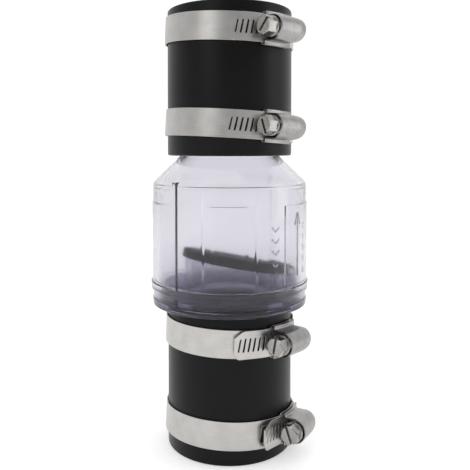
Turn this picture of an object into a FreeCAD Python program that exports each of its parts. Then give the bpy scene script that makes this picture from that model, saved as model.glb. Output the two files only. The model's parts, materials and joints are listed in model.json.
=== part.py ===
"""In-line swing check valve for 1-1/2 in pipe, in millimetres.

The origin is the centre of the inlet sleeve's lower end and the flow runs up +Z.
Azimuths are measured from the front (-Y) towards +X.
"""
import FreeCAD, Part
import math
import os
import Sketcher

DRIVING_SIZES = {
    # rubber sleeves and the pipe they grip
    "pipe_radius": 24.13,
    "sleeve_fit": 0.05,
    "sleeve_wall": 5.97,
    "sleeve_length": 69.5,
    "sleeve_edge": 1.0,
    "pipe_depth": 34.0,
    "stop_thickness": 3.0,
    "stop_lip": 3.58,
    # clear body, heights above its lower face
    "sleeve_seat_depth": 1.0,
    "sleeve_seat_fit": 0.35,
    "spigot_wall": 3.68,
    "spigot_stop_gap": 0.5,
    "body_wall": 3.2,
    "chamber_clearance": 0.7,
    "flange_height": 3.5,
    "flange_lip": 0.15,
    "floor_height": 4.5,
    "socket_height": 7.0,
    "socket_fit": 0.05,
    "plug_wall": 3.0,
    "rim_start": 7.6,
    "rim_height": 3.7,
    "rim_lip": 0.95,
    "shoulder_clearance": 13.9,
    "bevel_rise": 1.4,
    "bevel_run": 0.5,
    "cone_rise": 12.2,
    "neck_gap": 0.2,
    # seat and flapper; the low side of the seat lies low_side_angle from +X
    "seat_step": 1.25,
    "seat_wall": 2.6,
    "seat_low_rise": 9.37,
    "seat_tilt": 12.0,
    "seat_clearance": 0.1,
    "low_side_angle": 24.0,
    "seat_overlap": 1.8,
    "flapper_thickness": 4.5,
    "flapper_edge": 0.8,
    "stiffener_cover": 4.6,
    "stiffener_thickness": 1.6,
    "knuckle_gap": 2.0,
    "tab_width": 16.0,
    "tab_thickness": 3.6,
    "knuckle_radius": 3.2,
    "pin_radius": 1.5,
    "hinge_fit": 0.05,
    "ear_thickness": 3.2,
    "ear_gap": 0.3,
    "ear_half_width": 2.8,
    # moulded detail on the chamber wall
    "pad_drop": 8.2,
    "side_pad_lift": 0.45,
    "side_pad_sweep": 95.0,
    "side_pad_azimuth": 41.5,
    "front_pad_lift": 0.3,
    "front_pad_sweep": 22.6,
    "mid_pad_lift": 0.15,
    "mid_pad_sweep": 38.0,
    "rib_azimuth": -40.5,
    "rib_width": 2.3,
    "rib_lift": 0.5,
    "rib_overshoot": 2.0,
    "mark_lift": 0.35,
    "mark_width": 0.7,
    "mark_root": 1.0,
    "arrow_azimuth": 55.0,
    "arrow_start": 16.5,
    "arrow_length": 29.0,
    "barb_length": 6.0,
    "barb_angle": 22.0,
    "dash_azimuth": 64.0,
    "chevron_azimuth": 33.0,
    "chevron_start": 17.0,
    "chevron_pitch": 5.2,
    "chevron_arm": 2.8,
    # worm-drive clamps
    "band_play": 0.5,
    "band_thickness": 0.65,
    "band_width": 12.7,
    "layer_gap": 0.08,
    "saddle_width": 14.8,
    "saddle_margin": 0.6,
    "hood_front": 7.0,
    "hood_back": 10.0,
    "hood_wall": 0.75,
    "hood_foot_wall": 0.9,
    "channel_fit": 0.1,
    "foot_fit": 0.04,
    "worm_gap": 0.27,
    "worm_radius": 4.45,
    "worm_core_radius": 3.3,
    "worm_fit": 0.5,
    "worm_pitch": 2.4,
    "worm_end_play": 0.15,
    "worm_lead_in": 0.9,
    "neck_radius": 3.2,
    "pilot_radius": 2.2,
    "journal_fit": 0.1,
    "pilot_overhang": 0.3,
    "collar_radius": 4.7,
    "collar_thickness": 1.2,
    "collar_play": 0.1,
    "hex_across_flats": 7.94,
    "hex_height": 4.7,
    "driver_slot_width": 1.2,
    "driver_slot_depth": 1.6,
    "slot_pitch": 2.4,
    "slot_length": 6.2,
    "slot_width": 0.8,
    "slot_slant": 10.0,
    "slot_margin": 2.6,
    "tail_corner": 3.0,
    # distance of each clamp's centre from the near end of its sleeve
    "inlet_pipe_inset": 12.7,
    "inlet_body_inset": 13.9,
    "outlet_body_inset": 14.1,
    "outlet_pipe_inset": 10.8,
}

# How each clamp is fitted: azimuth of its screw, lean of the hoop about X and about Y,
# how far its tail follows the hoop past the screw (all in degrees), the straight end of
# the tail, and how far its screw is turned.
CLAMP_FITTING = {
    "inlet_pipe": (63.0, -2.82, 1.9, 12.5, 14.0, 112.0),
    "inlet_body": (50.0, -0.44, 1.8, 27.5, 11.0, 81.0),
    "outlet_body": (41.5, -0.74, 3.3, 45.5, 0.0, 115.0),
    "outlet_pipe": (41.0, 2.34, 2.3, 40.3, 0.0, 51.0),
}
SLOTS_PER_BAND = 30
JOGGLE_START = 21.5
JOGGLE_END = 26.0
CHEVRONS = 5
OVERCUT = 1.0

document = FreeCAD.newDocument("check_valve")
sheet = document.addObject("Spreadsheet::Sheet", "sizes")
for row, (alias, number) in enumerate(DRIVING_SIZES.items(), start=1):
    sheet.set(f"A{row}", alias)
    sheet.set(f"B{row}", str(number))
    sheet.setAlias(f"B{row}", alias)
document.recompute()


# ---------------------------------------------------------------- derived sizes
def cell(alias):
    """Name of a driving size inside an expression."""
    return f"sizes.{alias}"


def total(*terms):
    return "(" + " + ".join(terms) + ")"


def less(first, *others):
    return "(" + " - ".join((first,) + others) + ")"


def half(term):
    return f"({term} / 2)"


SLEEVE_BORE = total(cell("pipe_radius"), cell("sleeve_fit"))
SLEEVE_OUTER = total(SLEEVE_BORE, cell("sleeve_wall"))
SPIGOT_BORE = less(cell("pipe_radius"), cell("spigot_wall"))
BODY_BASE = less(cell("sleeve_length"), cell("sleeve_seat_depth"))
SPIGOT_LENGTH = less(cell("sleeve_length"), cell("pipe_depth"), cell("stop_thickness"),
                     cell("spigot_stop_gap"))
SEAT_BORE = less(SPIGOT_BORE, cell("seat_step"))
SEAT_OUTER = total(SEAT_BORE, cell("seat_wall"))
SEAT_CENTRE = total(cell("floor_height"), cell("seat_low_rise"), f"{SEAT_OUTER} * tan({cell('seat_tilt')})")
FLAPPER_RADIUS = total(SEAT_OUTER, cell("seat_overlap"))
FLAPPER_RISE = total(cell("seat_clearance"), half(cell("flapper_thickness")))
STIFFENER_RADIUS = less(FLAPPER_RADIUS, cell("stiffener_cover"))
HINGE_REACH = total(FLAPPER_RADIUS, cell("knuckle_gap"), cell("knuckle_radius"))
HINGE_X = total(f"{HINGE_REACH} * cos({cell('seat_tilt')})", f"{FLAPPER_RISE} * sin({cell('seat_tilt')})")
HINGE_HEIGHT = less(total(SEAT_CENTRE, f"{FLAPPER_RISE} * cos({cell('seat_tilt')})"),
                    f"{HINGE_REACH} * sin({cell('seat_tilt')})")
EAR_START = total(half(cell("tab_width")), cell("ear_gap"))
EAR_END = total(EAR_START, cell("ear_thickness"))
EAR_CORNER = f"sqrt(pow({total(HINGE_X, cell('ear_half_width'))}; 2) + pow({EAR_END}; 2))"
CHAMBER_RADIUS = total(EAR_CORNER, cell("chamber_clearance"))
BODY_RADIUS = total(CHAMBER_RADIUS, cell("body_wall"))
PLUG_RADIUS = less(CHAMBER_RADIUS, cell("socket_fit"))
PLUG_TOP = total(cell("flange_height"), cell("socket_height"))
SLEEVE_SEAT_RADIUS = total(SLEEVE_OUTER, cell("sleeve_seat_fit"))
RIM_TOP = total(cell("rim_start"), cell("rim_height"))
SHOULDER = total(HINGE_HEIGHT, HINGE_REACH, cell("shoulder_clearance"))
BEVEL_TOP = total(SHOULDER, cell("bevel_rise"))
BEVEL_RADIUS = less(BODY_RADIUS, cell("bevel_run"))
NECK = total(BEVEL_TOP, cell("cone_rise"))
CONE_SLOPE = f"({cell('cone_rise')} / {less(BEVEL_RADIUS, cell('pipe_radius'))})"
CONE_WALL_DROP = f"({cell('body_wall')} * sqrt(1 + pow({CONE_SLOPE}; 2)))"
OUTLET_END = total(NECK, cell("neck_gap"), SPIGOT_LENGTH)
OUTLET_SLEEVE_BASE = total(BODY_BASE, NECK, cell("neck_gap"))
OUTLET_SLEEVE_TOP = total(OUTLET_SLEEVE_BASE, cell("sleeve_length"))
BAND_RADIUS = total(SLEEVE_OUTER, cell("band_play"))
BAND_OUTER = total(BAND_RADIUS, cell("band_thickness"))
TAIL_RADIUS = total(BAND_OUTER, cell("layer_gap"))
TAIL_OUTER = total(TAIL_RADIUS, cell("band_thickness"))
CHANNEL_RADIUS = total(TAIL_OUTER, cell("channel_fit"))
CHANNEL_WIDTH = total(cell("band_width"), f"2 * {cell('channel_fit')}")
SCREW_AXIS = total(TAIL_OUTER, cell("worm_gap"), cell("worm_radius"))
WORM_CAVITY = total(cell("worm_radius"), cell("worm_fit"))
DOME_RADIUS = total(WORM_CAVITY, cell("hood_wall"))
FOOT_RADIUS = total(CHANNEL_RADIUS, cell("hood_foot_wall"))
HOOD_LENGTH = total(cell("hood_front"), cell("hood_back"))
CAVITY_LENGTH = less(HOOD_LENGTH, f"2 * {cell('hood_wall')}")
CAVITY_BACK = less(cell("hood_back"), cell("hood_wall"))
WORM_LENGTH = less(CAVITY_LENGTH, f"2 * {cell('worm_end_play')}")
WORM_BACK = less(CAVITY_BACK, cell("worm_end_play"))
THREAD_LENGTH = less(WORM_LENGTH, f"2 * {cell('worm_lead_in')}", cell("worm_pitch"))
CLAMP_HEIGHTS = {
    "inlet_pipe": cell("inlet_pipe_inset"),
    "inlet_body": less(cell("sleeve_length"), cell("inlet_body_inset")),
    "outlet_body": total(OUTLET_SLEEVE_BASE, cell("outlet_body_inset")),
    "outlet_pipe": less(OUTLET_SLEEVE_TOP, cell("outlet_pipe_inset")),
}


def spot(x, y, z, axis="0; 0; 1", angle="0"):
    """Placement expression: a point, and a turn about an axis."""
    return f"placement(vector({x}; {y}; {z}); rotation(vector({axis}); {angle}))"


def chain(*spots):
    return " * ".join(spots)


BODY_SPOT = spot("0", "0", BODY_BASE)
LOWER_SPOT = spot("0", "0", BODY_BASE, "0; 0; 1", cell("low_side_angle"))
SEAT_SPOT = spot("0", "0", SEAT_CENTRE, "0; 1; 0", cell("seat_tilt"))
HINGE_SPOT = chain(LOWER_SPOT, SEAT_SPOT, spot(HINGE_REACH, "0", FLAPPER_RISE))


# ---------------------------------------------------------------- building helpers
def bind(item, **expressions):
    for prop, expression in expressions.items():
        item.setExpression(prop, expression)
    return item


def new_body(name, place=None):
    body = document.addObject("PartDesign::Body", name)
    body.Label = name
    if place:
        bind(body, Placement=place)
    return body


def origin_plane(body, role):
    return next(plane for plane in body.Origin.OriginFeatures if plane.Role == role)


def polygon_sketch(body, name, corners, role="XZ_Plane", lift="0"):
    """Closed sketch whose corners are bound to expressions, lifted off its plane by lift."""
    sketch = body.newObject("Sketcher::SketchObject", name)
    sketch.AttachmentSupport = [(origin_plane(body, role), "")]
    sketch.MapMode = "FlatFace"
    sketch.setExpression("AttachmentOffset.Base.z", lift)
    count = len(corners)
    rough = [FreeCAD.Vector(20 + 10 * math.cos(2 * math.pi * step / count),
                            10 * math.sin(2 * math.pi * step / count), 0) for step in range(count)]
    for step in range(count):
        sketch.addGeometry(Part.LineSegment(rough[step], rough[(step + 1) % count]), False)
    for step in range(count):
        sketch.addConstraint(Sketcher.Constraint("Coincident", step, 2, (step + 1) % count, 1))
    for step, (across, up) in enumerate(corners):
        for kind, value, expression in (("DistanceX", rough[step].x, across),
                                        ("DistanceY", rough[step].y, up)):
            index = sketch.addConstraint(Sketcher.Constraint(kind, -1, 1, step, 1, value))
            sketch.setExpression(f"Constraints[{index}]", expression)
    document.recompute()
    return sketch


def revolve(body, name, corners, kind="PartDesign::Revolution"):
    sketch = polygon_sketch(body, name + "_profile", corners)
    feature = body.newObject(kind, name)
    feature.Profile = sketch
    feature.ReferenceAxis = (sketch, ["V_Axis"])
    feature.Angle = 360
    document.recompute()
    return feature


def primitive(body, kind, name, place, **expressions):
    """PartDesign primitive such as AdditiveBox, placed in the body's own frame."""
    feature = body.newObject("PartDesign::" + kind, name)
    bind(feature, Placement=place, **expressions)
    document.recompute()
    return feature


def solid(kind, name, place, **expressions):
    """Part workbench primitive."""
    item = document.addObject("Part::" + kind, name)
    bind(item, Placement=place, **expressions)
    return item


def combine(kind, name, *items):
    item = document.addObject("Part::" + kind, name)
    if kind in ("Cut", "Common"):
        item.Base, item.Tool = items
    else:
        item.Shapes = list(items)
    return item


def centred_box(name, low, length, width, height, frame=None):
    """Part::Box from x = low, centred on z, from y = width[0] to width[1]."""
    corner = spot(low, width[0], f"-{half(height)}")
    place = chain(frame, corner) if frame else corner
    return solid("Box", name, place, Length=length, Width=less(width[1], width[0]), Height=height)


def round_edges(body, name, feature, radius, wanted):
    """Fillet the feature's edges that the wanted test picks."""
    names = [f"Edge{place}" for place, edge in enumerate(feature.Shape.Edges, start=1) if wanted(edge)]
    fillet = body.newObject("PartDesign::Fillet", name)
    fillet.Base = (feature, names)
    fillet.Radius = 0.1
    bind(fillet, Radius=radius)
    document.recompute()
    return fillet


def widest_circles(feature):
    """Test that picks the feature's circles of the largest radius."""
    circles = [edge.Curve.Radius for edge in feature.Shape.Edges if isinstance(edge.Curve, Part.Circle)]
    widest = max(circles)
    return lambda edge: isinstance(edge.Curve, Part.Circle) and edge.Curve.Radius > widest - 0.01


# ---------------------------------------------------------------- sleeves
def make_sleeve(name, place):
    """Rubber sleeve, pipe end down: bore, stop rib, then the spigot bore."""
    body = new_body(name, place)
    stop_end = total(cell("pipe_depth"), cell("stop_thickness"))
    stop_radius = less(SLEEVE_BORE, cell("stop_lip"))
    tube = revolve(body, name + "_tube", [
        (SLEEVE_BORE, "0"),
        (SLEEVE_OUTER, "0"),
        (SLEEVE_OUTER, cell("sleeve_length")),
        (SLEEVE_BORE, cell("sleeve_length")),
        (SLEEVE_BORE, stop_end),
        (stop_radius, stop_end),
        (stop_radius, cell("pipe_depth")),
        (SLEEVE_BORE, cell("pipe_depth"))])
    round_edges(body, name + "_edges", tube, cell("sleeve_edge"), widest_circles(tube))
    return body


nodes = [make_sleeve("inlet_sleeve", spot("0", "0", "0")),
         make_sleeve("outlet_sleeve", spot("0", "0", OUTLET_SLEEVE_TOP, "1; 0; 0", "180"))]


# ---------------------------------------------------------------- lower body
def make_lower_body():
    """Base with inlet spigot, plug, inclined seat tube and two hinge ears."""
    body = new_body("lower_body", LOWER_SPOT)
    spigot_end = f"(-{less(SPIGOT_LENGTH, cell('sleeve_seat_depth'))})"
    flange_radius = total(BODY_RADIUS, cell("flange_lip"))
    plug_inner = less(PLUG_RADIUS, cell("plug_wall"))
    tube_top = total(SEAT_CENTRE, SEAT_OUTER)
    step_height = f"(-{cell('floor_height')})"
    revolve(body, "base", [
        (SPIGOT_BORE, spigot_end),
        (cell("pipe_radius"), spigot_end),
        (cell("pipe_radius"), cell("sleeve_seat_depth")),
        (SLEEVE_SEAT_RADIUS, cell("sleeve_seat_depth")),
        (SLEEVE_SEAT_RADIUS, "0"),
        (flange_radius, "0"),
        (flange_radius, cell("flange_height")),
        (PLUG_RADIUS, cell("flange_height")),
        (PLUG_RADIUS, PLUG_TOP),
        (plug_inner, PLUG_TOP),
        (plug_inner, cell("floor_height")),
        (SEAT_OUTER, cell("floor_height")),
        (SEAT_OUTER, tube_top),
        (SEAT_BORE, tube_top),
        (SEAT_BORE, "0"),
        (SPIGOT_BORE, step_height)])
    cutter_side = f"(4 * {SEAT_OUTER})"
    primitive(body, "SubtractiveBox", "seat_face",
              chain(SEAT_SPOT, spot(f"-{half(cutter_side)}", f"-{half(cutter_side)}", "0")),
              Length=cutter_side, Width=cutter_side, Height=cutter_side)
    ear_low = less(HINGE_X, cell("ear_half_width"))
    ear_foot = half(cell("floor_height"))
    for side, start in (("left", f"(-{EAR_END})"), ("right", EAR_START)):
        primitive(body, "AdditiveBox", side + "_ear", spot(ear_low, start, ear_foot),
                  Length=f"2 * {cell('ear_half_width')}", Width=cell("ear_thickness"),
                  Height=less(HINGE_HEIGHT, ear_foot))
        end = total(start, cell("ear_thickness"))
        primitive(body, "AdditiveCylinder", side + "_eye",
                  spot(HINGE_X, end, HINGE_HEIGHT, "1; 0; 0", "90"),
                  Radius=cell("ear_half_width"), Height=cell("ear_thickness"))
    primitive(body, "SubtractiveCylinder", "pin_hole",
              spot(HINGE_X, EAR_END, HINGE_HEIGHT, "1; 0; 0", "90"),
              Radius=cell("pin_radius"), Height=f"(2 * {EAR_END})")
    return body


nodes.append(make_lower_body())


# ---------------------------------------------------------------- upper body
def wall_spot(azimuth, height, lean="0"):
    """Frame on the chamber wall: x outward, y towards a larger azimuth, z up."""
    return chain(spot("0", "0", height, "0; 0; 1", f"({azimuth} - 90)"),
                 spot(BODY_RADIUS, "0", "0", "1; 0; 0", lean))


def raised_bar(body, name, azimuth, height, length, aside="0", lean="0"):
    """Raised line of the moulding, from its lower end along its length."""
    corner = spot(f"-{cell('mark_root')}", f"({aside} - {half(cell('mark_width'))})", "0")
    primitive(body, "AdditiveBox", name, chain(wall_spot(azimuth, height, lean), corner),
              Length=total(cell("mark_root"), cell("side_pad_lift"), cell("mark_lift")),
              Width=cell("mark_width"), Height=length)


def make_upper_body():
    """Clear housing: skirt, rim, chamber wall with raised panels, cone and outlet spigot."""
    body = new_body("upper_body", BODY_SPOT)
    revolve(body, "housing", [
        ("0", cell("flange_height")),
        (BODY_RADIUS, cell("flange_height")),
        (BODY_RADIUS, cell("rim_start")),
        (total(BODY_RADIUS, cell("rim_lip")), cell("rim_start")),
        (total(BODY_RADIUS, cell("rim_lip")), RIM_TOP),
        (BODY_RADIUS, RIM_TOP),
        (BODY_RADIUS, SHOULDER),
        (BEVEL_RADIUS, BEVEL_TOP),
        (cell("pipe_radius"), NECK),
        (cell("pipe_radius"), OUTLET_END),
        ("0", OUTLET_END)])
    right_pad = f"({cell('side_pad_azimuth')} - 90)"
    left_pad = f"({cell('rib_azimuth')} - {cell('side_pad_sweep')} - 90)"
    front_pad = f"(-90 - {half(cell('front_pad_sweep'))})"
    mid_pad = f"(-90 - {half(cell('mid_pad_sweep'))})"
    for name, start, sweep, lift in (
            ("right_pad", right_pad, cell("side_pad_sweep"), cell("side_pad_lift")),
            ("left_pad", left_pad, cell("side_pad_sweep"), cell("side_pad_lift")),
            ("mid_pad", mid_pad, cell("mid_pad_sweep"), cell("mid_pad_lift")),
            ("front_pad", front_pad, cell("front_pad_sweep"), cell("front_pad_lift"))):
        primitive(body, "AdditiveCylinder", name, spot("0", "0", RIM_TOP, "0; 0; 1", start),
                  Radius=total(BODY_RADIUS, lift), Angle=sweep,
                  Height=less(SHOULDER, cell("pad_drop"), RIM_TOP))
    back_rib = total(cell("rib_azimuth"), "180")
    for name, azimuth in (("front_rib", cell("rib_azimuth")), ("back_rib", back_rib)):
        primitive(body, "AdditiveBox", name,
                  chain(wall_spot(azimuth, cell("flange_height")),
                        spot(f"-{cell('mark_root')}", f"-{half(cell('rib_width'))}", "0")),
                  Length=total(cell("mark_root"), cell("side_pad_lift"), cell("rib_lift")),
                  Width=cell("rib_width"),
                  Height=total(less(SHOULDER, cell("flange_height")), cell("rib_overshoot")))
    arrow_tip = total(cell("arrow_start"), cell("arrow_length"))
    barb_drop = f"{cell('barb_length')} * cos({cell('barb_angle')})"
    barb_base = less(arrow_tip, barb_drop)
    barb_aside = f"({cell('barb_length')} * sin({cell('barb_angle')}))"
    raised_bar(body, "arrow_shaft", cell("arrow_azimuth"), cell("arrow_start"), cell("arrow_length"))
    for name, sign in (("arrow_left_barb", "-"), ("arrow_right_barb", "")):
        frame = chain(wall_spot(cell("arrow_azimuth"), barb_base),
                      spot("0", f"{sign}{barb_aside}", "0", "1; 0; 0", f"{sign}{cell('barb_angle')}"),
                      spot(f"-{cell('mark_root')}", f"-{half(cell('mark_width'))}", "0"))
        primitive(body, "AdditiveBox", name, frame,
                  Length=total(cell("mark_root"), cell("side_pad_lift"), cell("mark_lift")),
                  Width=cell("mark_width"), Height=cell("barb_length"))
    for step in range(CHEVRONS):
        height = f"({cell('chevron_start')} + {step} * {cell('chevron_pitch')})"
        raised_bar(body, f"dash_{step + 1}", cell("dash_azimuth"), height, cell("chevron_arm"))
        for name, lean in (("left", "-45"), ("right", "45")):
            raised_bar(body, f"chevron_{name}_{step + 1}", cell("chevron_azimuth"), height,
                       cell("chevron_arm"), "0", lean)
    cone_inside = less(BEVEL_TOP, CONE_WALL_DROP)
    cone_inner_start = total(cone_inside, f"{less(BEVEL_RADIUS, CHAMBER_RADIUS)} * {CONE_SLOPE}")
    cone_inner_end = total(cone_inside, f"{less(BEVEL_RADIUS, SPIGOT_BORE)} * {CONE_SLOPE}")
    below = less(cell("flange_height"), str(OVERCUT))
    above = total(OUTLET_END, str(OVERCUT))
    revolve(body, "chamber", [
        ("0", below),
        (CHAMBER_RADIUS, below),
        (CHAMBER_RADIUS, cone_inner_start),
        (SPIGOT_BORE, cone_inner_end),
        (SPIGOT_BORE, above),
        ("0", above)], kind="PartDesign::Groove")
    return body


nodes.append(make_upper_body())


# ---------------------------------------------------------------- flapper
def make_flapper():
    """Rubber disc, tab and knuckle. Origin on the pin, x from the disc towards the pin."""
    body = new_body("flapper", HINGE_SPOT)
    centre = f"(-{HINGE_REACH})"
    disc = primitive(body, "AdditiveCylinder", "disc",
                     spot(centre, "0", f"-{half(cell('flapper_thickness'))}"),
                     Radius=FLAPPER_RADIUS, Height=cell("flapper_thickness"))
    round_edges(body, "disc_edges", disc, cell("flapper_edge"), widest_circles(disc))
    tab_root = f"({centre} + {FLAPPER_RADIUS} / 2)"
    primitive(body, "AdditiveBox", "tab",
              spot(tab_root, f"-{half(cell('tab_width'))}", f"-{half(cell('tab_thickness'))}"),
              Length=f"(-{tab_root})", Width=cell("tab_width"), Height=cell("tab_thickness"))
    across = spot("0", half(cell("tab_width")), "0", "1; 0; 0", "90")
    primitive(body, "AdditiveCylinder", "knuckle", across,
              Radius=cell("knuckle_radius"), Height=cell("tab_width"))
    primitive(body, "SubtractiveCylinder", "pin_bore", across,
              Radius=total(cell("pin_radius"), cell("hinge_fit")), Height=cell("tab_width"))
    primitive(body, "SubtractiveCylinder", "stiffener_pocket",
              spot(centre, "0", f"-{half(cell('stiffener_thickness'))}"),
              Radius=STIFFENER_RADIUS, Height=cell("stiffener_thickness"))
    return body


def make_stiffener():
    """Steel disc that the rubber is moulded over."""
    place = chain(HINGE_SPOT, spot(f"(-{HINGE_REACH})", "0", f"-{half(cell('stiffener_thickness'))}"))
    return solid("Cylinder", "flapper_stiffener", place, Radius=STIFFENER_RADIUS,
                 Height=cell("stiffener_thickness"))


def make_hinge_pin():
    place = chain(LOWER_SPOT, spot(HINGE_X, EAR_END, HINGE_HEIGHT, "1; 0; 0", "90"))
    return solid("Cylinder", "hinge_pin", place, Radius=cell("pin_radius"), Height=f"(2 * {EAR_END})")


nodes += [make_flapper(), make_stiffener(), make_hinge_pin()]


# ---------------------------------------------------------------- clamps
def hoop_radii():
    """Inner radius of the hoop, and of the tail that lies on it."""
    inner = sum(sheet.get(alias) for alias in ("pipe_radius", "sleeve_fit", "sleeve_wall", "band_play"))
    return inner, inner + sheet.get("band_thickness") + sheet.get("layer_gap")


def polar(radius, degrees):
    angle = math.radians(degrees)
    return FreeCAD.Vector(radius * math.cos(angle), radius * math.sin(angle), 0)


def arc(radius, start, end):
    """Arc about the hoop's axis, through its middle."""
    return Part.Arc(polar(radius, start), polar(radius, (start + end) / 2), polar(radius, end)).toShape()


def line(start, end):
    return Part.LineSegment(start, end).toShape()


def band_slots(inner, outer, tail_angle, straight):
    """Boxes that pierce one layer of the strip, starting at the tip of its tail."""
    thickness, pitch = sheet.get("band_thickness"), sheet.get("slot_pitch")
    length, width = sheet.get("slot_length"), sheet.get("slot_width")
    cutters = []
    for step in range(SLOTS_PER_BAND):
        along = sheet.get("slot_margin") + step * pitch
        degrees_per_mm = math.degrees(1 / (outer + thickness / 2))
        angle = (along - straight) * degrees_per_mm - tail_angle
        aside, radius = 0.0, outer
        if along < straight:
            angle, aside = -tail_angle, along - straight
        elif angle > JOGGLE_START - pitch * degrees_per_mm / 2:
            skipped = JOGGLE_END - JOGGLE_START + pitch * degrees_per_mm
            angle, radius = angle + skipped, inner
        box = Part.makeBox(2 * thickness, width, length,
                           FreeCAD.Vector(-sheet.get("layer_gap") / 2, -width / 2, -length / 2))
        box.rotate(FreeCAD.Vector(), FreeCAD.Vector(1, 0, 0), sheet.get("slot_slant"))
        box.translate(FreeCAD.Vector(radius, aside, 0))
        box.rotate(FreeCAD.Vector(), FreeCAD.Vector(0, 0, 1), angle)
        cutters.append(box)
    return cutters


def tail_corners(outer, tail_angle, straight):
    """Prisms that clip the two corners of the tail's tip."""
    corner, width = sheet.get("tail_corner"), sheet.get("band_width")
    side = corner * math.sqrt(2)
    prisms = []
    for edge in (-width / 2, width / 2):
        prism = Part.makeBox(8 * sheet.get("band_thickness"), side, side,
                             FreeCAD.Vector(-4 * sheet.get("band_thickness"), -side / 2, -side / 2))
        prism.rotate(FreeCAD.Vector(), FreeCAD.Vector(1, 0, 0), 45)
        prism.translate(FreeCAD.Vector(outer, -straight, edge))
        prism.rotate(FreeCAD.Vector(), FreeCAD.Vector(0, 0, 1), -tail_angle)
        prisms.append(prism.cut(Part.makeCylinder(outer - sheet.get("layer_gap") / 2, 2 * width,
                                                  FreeCAD.Vector(0, 0, -width))))
    return prisms


def make_band(name, place, tail_angle, straight):
    """One steel strip: from the saddle's front round the hoop, up over the saddle, to the tail."""
    thickness = sheet.get("band_thickness")
    inner, outer = hoop_radii()
    front = sheet.get("hood_front") + sheet.get("saddle_margin") + sheet.get("channel_fit")
    start = -math.degrees(math.asin(front / inner))
    around = JOGGLE_END - 360
    tail_line = polar(1, -tail_angle - 90) * straight
    edges = [arc(inner, start, around),
             line(polar(inner, around), polar(outer, JOGGLE_START)),
             arc(outer, JOGGLE_START, -tail_angle)]
    tips = [polar(outer, -tail_angle) + tail_line, polar(outer + thickness, -tail_angle) + tail_line]
    if straight:
        edges.append(line(polar(outer, -tail_angle), tips[0]))
    edges.append(line(tips[0], tips[1]))
    if straight:
        edges.append(line(tips[1], polar(outer + thickness, -tail_angle)))
    edges += [arc(outer + thickness, -tail_angle, JOGGLE_START),
              line(polar(outer + thickness, JOGGLE_START), polar(inner + thickness, around)),
              arc(inner + thickness, around, start),
              line(polar(inner + thickness, start), polar(inner, start))]
    width = sheet.get("band_width")
    strip = Part.Face(Part.Wire(edges)).extrude(FreeCAD.Vector(0, 0, width))
    strip.translate(FreeCAD.Vector(0, 0, -width / 2))
    cutters = band_slots(inner, outer, tail_angle, straight) + tail_corners(outer, tail_angle, straight)
    band = document.addObject("Part::Feature", name)
    band.Shape = strip.cut(cutters)
    bind(band, Placement=place)
    return band


def make_saddle(name, place):
    """Curved plate under the screw that carries the hood's feet."""
    height = cell("saddle_width")
    low = spot("0", "0", f"-{half(height)}")
    ring = combine("Cut", name + "_ring",
                   solid("Cylinder", name + "_outer", low, Radius=BAND_OUTER, Height=height),
                   solid("Cylinder", name + "_inner", low, Radius=BAND_RADIUS, Height=height))
    span = (f"(-{total(cell('hood_front'), cell('saddle_margin'))})",
            total(cell("hood_back"), cell("saddle_margin")))
    window = centred_box(name + "_window", half(BAND_RADIUS), BAND_RADIUS, span, height)
    return bind(combine("Common", name, ring, window), Placement=place)


def make_housing(name, place):
    """Hood over the worm: dome, legs, feet on the saddle, end walls and the strip's channel."""
    axis = SCREW_AXIS
    front = f"(-{cell('hood_front')})"
    span = (front, cell("hood_back"))
    inside = (less(f"(-{cell('hood_front')})", f"(-{cell('hood_wall')})"), CAVITY_BACK)
    dome = solid("Cylinder", name + "_dome", spot(axis, cell("hood_back"), "0", "1; 0; 0", "90"),
                 Radius=DOME_RADIUS, Height=HOOD_LENGTH)
    legs = centred_box(name + "_legs", BAND_RADIUS, less(axis, BAND_RADIUS), span,
                       f"(2 * {DOME_RADIUS})")
    foot_box = centred_box(name + "_foot_box", half(BAND_RADIUS), BAND_RADIUS, span,
                           cell("saddle_width"))
    low = spot("0", "0", f"-{half(cell('saddle_width'))}")
    feet = combine("Common", name + "_feet", foot_box,
                   solid("Cylinder", name + "_foot_round", low, Radius=FOOT_RADIUS,
                         Height=cell("saddle_width")))
    outside = combine("MultiFuse", name + "_outside", dome, legs, feet)
    cavity = solid("Cylinder", name + "_cavity", spot(axis, CAVITY_BACK, "0", "1; 0; 0", "90"),
                   Radius=WORM_CAVITY, Height=CAVITY_LENGTH)
    throat = centred_box(name + "_throat", half(BAND_RADIUS), less(axis, half(BAND_RADIUS)),
                         inside, f"(2 * {WORM_CAVITY})")
    neck_hole = solid("Cylinder", name + "_neck_hole", spot(axis, "0", "0", "1; 0; 0", "90"),
                      Radius=total(cell("neck_radius"), cell("journal_fit")),
                      Height=total(cell("hood_front"), str(OVERCUT)))
    pilot_hole = solid("Cylinder", name + "_pilot_hole", spot(axis, "0", "0", "1; 0; 0", "-90"),
                       Radius=total(cell("pilot_radius"), cell("journal_fit")),
                       Height=total(cell("hood_back"), str(OVERCUT)))
    channel = solid("Cylinder", name + "_channel", spot("0", "0", f"-{half(CHANNEL_WIDTH)}"),
                    Radius=CHANNEL_RADIUS, Height=CHANNEL_WIDTH)
    saddle_room = solid("Cylinder", name + "_saddle_room", low,
                        Radius=total(BAND_OUTER, cell("foot_fit")), Height=cell("saddle_width"))
    hollow = combine("MultiFuse", name + "_hollow", cavity, throat, neck_hole, pilot_hole, channel,
                     saddle_room)
    return bind(combine("Cut", name, outside, hollow), Placement=place)


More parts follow.
